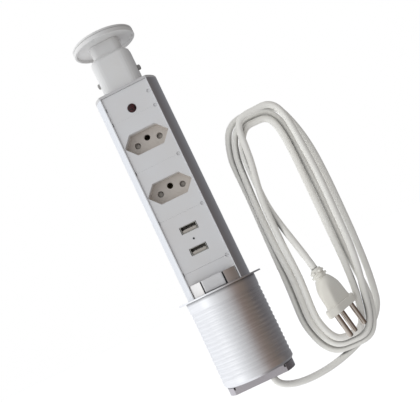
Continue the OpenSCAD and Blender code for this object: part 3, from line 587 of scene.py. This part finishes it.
def hexagon_radius(angle, tip, half_h):
    """Distance to a rounded six-sided outline, pointed towards +X and -X."""
    flat = tip * FLAT_SHARE
    slope = math.hypot(half_h, tip - flat)
    walls = [(math.pi / 2, half_h), (-math.pi / 2, half_h)]
    lean = math.atan2(tip - flat, half_h)
    for turn in (lean, -lean, math.pi - lean, math.pi + lean):
        walls.append((turn, tip * half_h / slope))
    total = sum(max(0.0, math.cos(angle - turn) / reach) ** CRISPNESS for turn, reach in walls)
    return total ** (-1 / CRISPNESS)


def plug_section(z, tip, half_h, squareness):
    """One ring of the plug: round where squareness is 0 and six-sided where it is 1."""
    ring = []
    for k in range(PLUG_SIDES):
        a = 2 * math.pi * k / PLUG_SIDES
        oval = 1 / math.hypot(math.cos(a) / tip, math.sin(a) / half_h)
        r = oval + (hexagon_radius(a, tip, half_h) - oval) * squareness
        ring.append(PLUG_PLACE @ Vector((r * math.cos(a), r * math.sin(a), z)))
    return ring


def interpolate(knots, z):
    """Values between knots, each a position followed by its values."""
    for low, high in zip(knots, knots[1:]):
        if z <= high[0]:
            t = (z - low[0]) / (high[0] - low[0])
            return [a + (b - a) * t for a, b in zip(low[1:], high[1:])]
    return list(knots[-1][1:])


def flange_section(z, inset):
    """One ring of the flange, drawn in by inset."""
    return plug_section(z, FLANGE_TIP - inset, FLANGE_HALF_H - inset, 1)


def plug_body_rings():
    """Bottle-shaped body that swells from the boot, then a stepped flange with rounded edges."""
    rings = [plug_section(PLUG_BACK, 3.0, 3.0, 0.0)]
    for i in range(PLUG_STEPS + 1):
        z = PLUG_BACK + (FLANGE_BACK - PLUG_BACK) * i / PLUG_STEPS
        rings.append(plug_section(z, *interpolate(PLUG_KNOTS, z)))
    rings.append(flange_section(FLANGE_BACK + 0.05, FLANGE_ROUND))
    quarter = [math.pi / 2 * i / 4 for i in range(5)]
    for a in quarter:
        rings.append(
            flange_section(FLANGE_BACK + FLANGE_ROUND * (1 - math.cos(a)), FLANGE_ROUND * (1 - math.sin(a)))
        )
    for a in quarter:
        rings.append(
            flange_section(PLUG_FACE - FLANGE_ROUND * (1 - math.sin(a)), FLANGE_ROUND * (1 - math.cos(a)))
        )
    rings.append(flange_section(PLUG_FACE, FLANGE_ROUND + 1))
    return rings


def boot_radius(z, angle):
    """Strain relief: two broken ribs of four lugs each, the second turned half a lug."""
    radius = BOOT_R + BOOT_FLARE * z
    for centre, turn in BOOT_RIBS:
        rib = smooth((RIB_HALF_L - abs(z - centre)) / 0.4)
        lug = smooth(0.5 + 1.6 * (math.cos(4 * (angle - turn)) + 0.25))
        radius += rib * (RIB_RISE + LUG_RISE * lug)
    return radius


def boot_rings():
    """The strain relief from just below the cord's end to a little way inside the body."""
    rings = []
    for i in range(BOOT_STEPS + 1):
        z = 0.05 + (BOOT_LEN + 0.4) * i / BOOT_STEPS
        taper = 1 - 0.25 * smooth((1.0 - z) / 1.0)
        ring = []
        for k in range(PLUG_SIDES):
            a = 2 * math.pi * k / PLUG_SIDES
            r = boot_radius(z, a) * taper
            ring.append(PLUG_PLACE @ Vector((r * math.cos(a), r * math.sin(a), z)))
        rings.append(ring)
    return rings


def make_plug():
    """The plug's moulding and strain relief, in place of the plain ones of the CAD."""
    body = mesh_from_rings("plug_moulding", plug_body_rings())
    boot = mesh_from_rings("plug_strain_relief", boot_rings())
    for piece, node in ((body, "plug_body"), (boot, "plug_boot")):
        paint(piece, PLUG_PVC)
        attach(piece, "column")
        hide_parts(node)
        piece.visible_glossy = False


make_cord()
make_plug()


# ---- Springs ----


def squash_spring(node, axis, fixed_share):
    """Works out a spring's box and the point that would stay put, and gives the spring its own mesh; it does
    not shorten the spring.

    axis is 0 for X or 1 for Y, and fixed_share is where along the spring it stays put."""
    low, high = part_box(node)
    length = high[axis] - low[axis]
    anchor = [(a + b) / 2 for a, b in zip(low, high)]
    anchor[axis] = low[axis] + fixed_share * length
    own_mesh(frame["nodes"][node])


squash_spring("latch_spring", 1, 1)
squash_spring("upper_shutter_spring", 0, 1)
squash_spring("lower_shutter_spring", 0, 1)
squash_spring("button_spring", 0, 0.5)


# ---- Studio ----

CAMERA_AT = Vector((52.35, -567.47, 0.08))
CAMERA_AHEAD = Vector((-0.05742, 0.99303, 0.10289))
CAMERA_UP = Vector((0.4372, -0.0677, 0.8968))
FLOOR_Z = -330


def make_camera():
    """Rolled, so that the upright tower leans as it does on a table seen from above."""
    data = bpy.data.cameras.new("camera")
    data.lens = 62.49
    data.sensor_width = 36
    data.clip_start = 0.01
    data.clip_end = 100
    camera = bpy.data.objects.new("camera", data)
    back = -CAMERA_AHEAD.normalized()
    right = CAMERA_UP.cross(back).normalized()
    up = back.cross(right)
    turn = Matrix((right, up, back)).transposed()
    camera.matrix_world = Matrix.Translation(CAMERA_AT * MM) @ turn.to_4x4()
    bpy.context.scene.collection.objects.link(camera)
    bpy.context.scene.camera = camera


# Brightness and colour of the studio's walls by direction, in degrees from the camera's side
# towards the object's right. The left is a white window wall, the right a dim warm room.
MIRRORED_WALLS = [
    (-180, (0.75, 0.77, 0.81)),
    (-165, (0.95, 0.97, 1.02)),
    (-100, (1.04, 1.06, 1.10)),
    (-45, (0.94, 0.96, 0.99)),
    (5, (0.60, 0.60, 0.61)),
    (26, (0.42, 0.40, 0.40)),
    (44, (0.225, 0.165, 0.14)),
    (76, (0.18, 0.145, 0.12)),
    (98, (0.115, 0.105, 0.11)),
    (150, (0.20, 0.20, 0.21)),
    (172, (0.36, 0.37, 0.39)),
    (180, (0.75, 0.77, 0.81)),
]
# The light those walls give to everything that is not a mirror, evened out by the room.
SOFT_WALLS = [
    (-180, (0.52, 0.53, 0.55)),
    (-130, (0.72, 0.73, 0.75)),
    (-85, (1.45, 1.47, 1.48)),
    (-50, (1.18, 1.19, 1.19)),
    (0, (0.52, 0.525, 0.54)),
    (60, (0.34, 0.33, 0.325)),
    (110, (0.37, 0.365, 0.36)),
    (180, (0.52, 0.53, 0.55)),
]


def studio_walls(tree, direction, stops):
    """A background that takes its colour from the stops by direction, 0 to 1 once round."""
    ramp = tree.nodes.new("ShaderNodeValToRGB")
    ramp.color_ramp.interpolation = "EASE"
    elements = ramp.color_ramp.elements
    while len(elements) < len(stops):
        elements.new(0.5)
    brightest = max(max(colour) for _, colour in stops)
    for element, (degrees, colour) in zip(elements, stops):
        element.position = degrees / 360 + 0.5
        element.color = (*[c / brightest for c in colour], 1)
    tree.links.new(direction, ramp.inputs["Fac"])
    walls = tree.nodes.new("ShaderNodeBackground")
    walls.inputs["Strength"].default_value = brightest
    tree.links.new(ramp.outputs["Color"], walls.inputs["Color"])
    return walls.outputs[0]


def direction_round(tree):
    """Where a ray points, as a share of a turn round the column."""
    place = tree.nodes.new("ShaderNodeTexCoord")
    split = tree.nodes.new("ShaderNodeSeparateXYZ")
    tree.links.new(place.outputs["Generated"], split.inputs[0])
    flip = tree.nodes.new("ShaderNodeMath")
    flip.operation = "MULTIPLY"
    flip.inputs[1].default_value = -1
    tree.links.new(split.outputs["Y"], flip.inputs[0])
    turn = tree.nodes.new("ShaderNodeMath")
    turn.operation = "ARCTAN2"
    tree.links.new(split.outputs["X"], turn.inputs[0])
    tree.links.new(flip.outputs[0], turn.inputs[1])
    share = tree.nodes.new("ShaderNodeMapRange")
    share.inputs["From Min"].default_value = -math.pi
    share.inputs["From Max"].default_value = math.pi
    tree.links.new(turn.outputs[0], share.inputs["Value"])
    return share.outputs["Result"]


def make_world():
    """White to the camera, the walls to reflections and an even light to everything else."""
    world = bpy.data.worlds.new("studio")
    bpy.context.scene.world = world
    world.use_nodes = True
    tree = world.node_tree
    tree.nodes.clear()
    direction = direction_round(tree)
    path = tree.nodes.new("ShaderNodeLightPath")
    white = tree.nodes.new("ShaderNodeBackground")
    white.inputs["Color"].default_value = (1, 1, 1, 1)
    layers = (
        (studio_walls(tree, direction, MIRRORED_WALLS), "Is Glossy Ray"),
        (white.outputs[0], "Is Camera Ray"),
    )
    shown = studio_walls(tree, direction, SOFT_WALLS)
    for layer, ray in layers:
        pick = tree.nodes.new("ShaderNodeMixShader")
        tree.links.new(path.outputs[ray], pick.inputs["Fac"])
        tree.links.new(shown, pick.inputs[1])
        tree.links.new(layer, pick.inputs[2])
        shown = pick.outputs[0]
    out = tree.nodes.new("ShaderNodeOutputWorld")
    tree.links.new(shown, out.inputs["Surface"])


def make_floor():
    """A wide pale floor below the lowered column, a little self-lit so that it runs into the white."""
    mesh = bpy.data.meshes.new("floor")
    reach = 30
    corners = [(-reach, -reach), (reach, -reach), (reach, reach), (-reach, reach)]
    mesh.from_pydata([(x, y, FLOOR_Z * MM) for x, y in corners], [], [(0, 1, 2, 3)])
    floor = bpy.data.objects.new("floor", mesh)
    bpy.context.scene.collection.objects.link(floor)
    s = Surface("floor_paper")
    tone = s.mix(s.span(s.noise(0.02), 0, 1), (0.86, 0.86, 0.86), (0.90, 0.90, 0.90))
    s.set(Roughness=0.9, Emission_Color=(1, 1, 1, 1), Emission_Strength=0.5)
    paint(floor, s.finish(tone, None, s.bump(s.noise(0.4), 0.02)))
    # The walls run on below the floor in reflections, as if the object lay on a glass table.
    floor.visible_glossy = False
    floor.visible_diffuse = False
    floor.visible_shadow = False


def make_window():
    """A weak soft lamp on the left, in front of the object."""
    data = bpy.data.lights.new("window", "AREA")
    data.shape = "RECTANGLE"
    data.size, data.size_y = 0.8, 1.2
    data.energy = 1
    data.color = (1.0, 0.995, 0.985)
    lamp = bpy.data.objects.new("window", data)
    at = Vector((-1.4, -0.95, 0.2))
    lamp.matrix_world = Matrix.Translation(at) @ (-at).to_track_quat("-Z", "Y").to_matrix().to_4x4()
    bpy.context.scene.collection.objects.link(lamp)


make_camera()
make_world()
make_floor()
make_window()
bpy.context.scene.view_settings.view_transform = "Standard"
